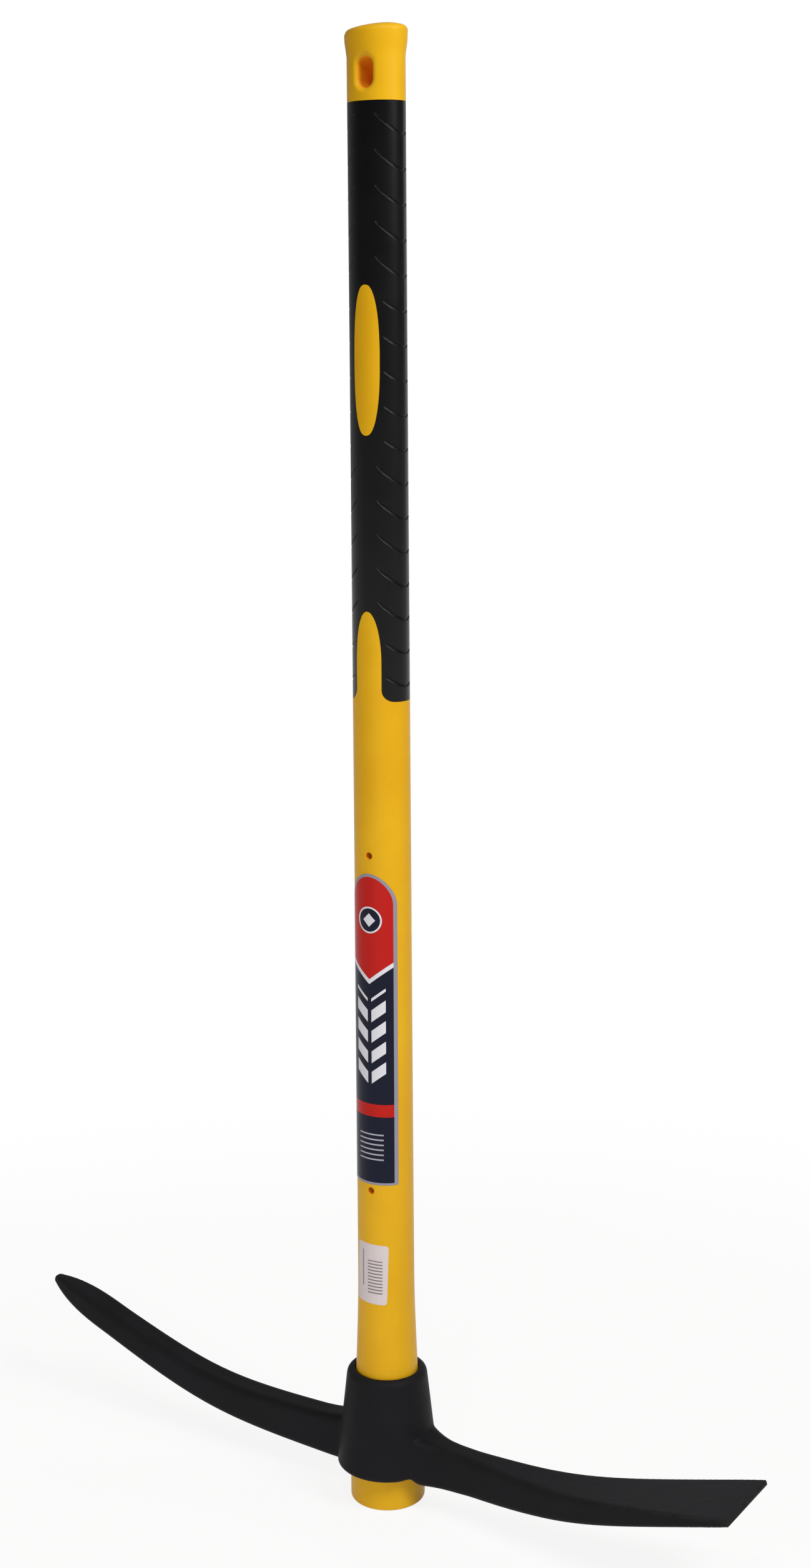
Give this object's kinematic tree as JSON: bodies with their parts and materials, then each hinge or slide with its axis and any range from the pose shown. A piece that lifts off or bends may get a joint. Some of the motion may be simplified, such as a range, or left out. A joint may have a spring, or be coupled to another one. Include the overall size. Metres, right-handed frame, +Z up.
{
  "type": "pickaxe",
  "caption": "Pickaxe with a forged steel head, a point on one side and a broad horizontal blade on the other, that slides on a long oval handle with a flared foot and a soft ribbed grip.",
  "frame": {"origin": "centre of the flat end of the handle's flared foot", "axes": "+Z up the handle's axis towards the hand, -X along the point, +X along the blade, -Y out of the broad face with the label"},
  "size_m": [0.5246, 0.0642, 0.9],
  "materials": {
    "yellow_plastic": "satin moulded polypropylene",
    "glass_fibre": "matt pultruded rod",
    "black_rubber": "satin thermoplastic elastomer",
    "label_film": "glossy printed film",
    "sticker_paper": "matt paper",
    "coated_steel": "satin black coating over a forged skin"
  },
  "bodies": {
    "handle": {"handle_body": "yellow_plastic", "fibreglass_core": "glass_fibre", "grip": "black_rubber", "main_label": "label_film", "price_sticker": "sticker_paper"},
    "head": {"pick_head": "coated_steel"}
  },
  "joints": [
    {"name": "head_slide", "type": "slide", "parent": "handle", "child": "head", "axis": [0, 0, 1], "range_m": [0, 0.9]}
  ]
}
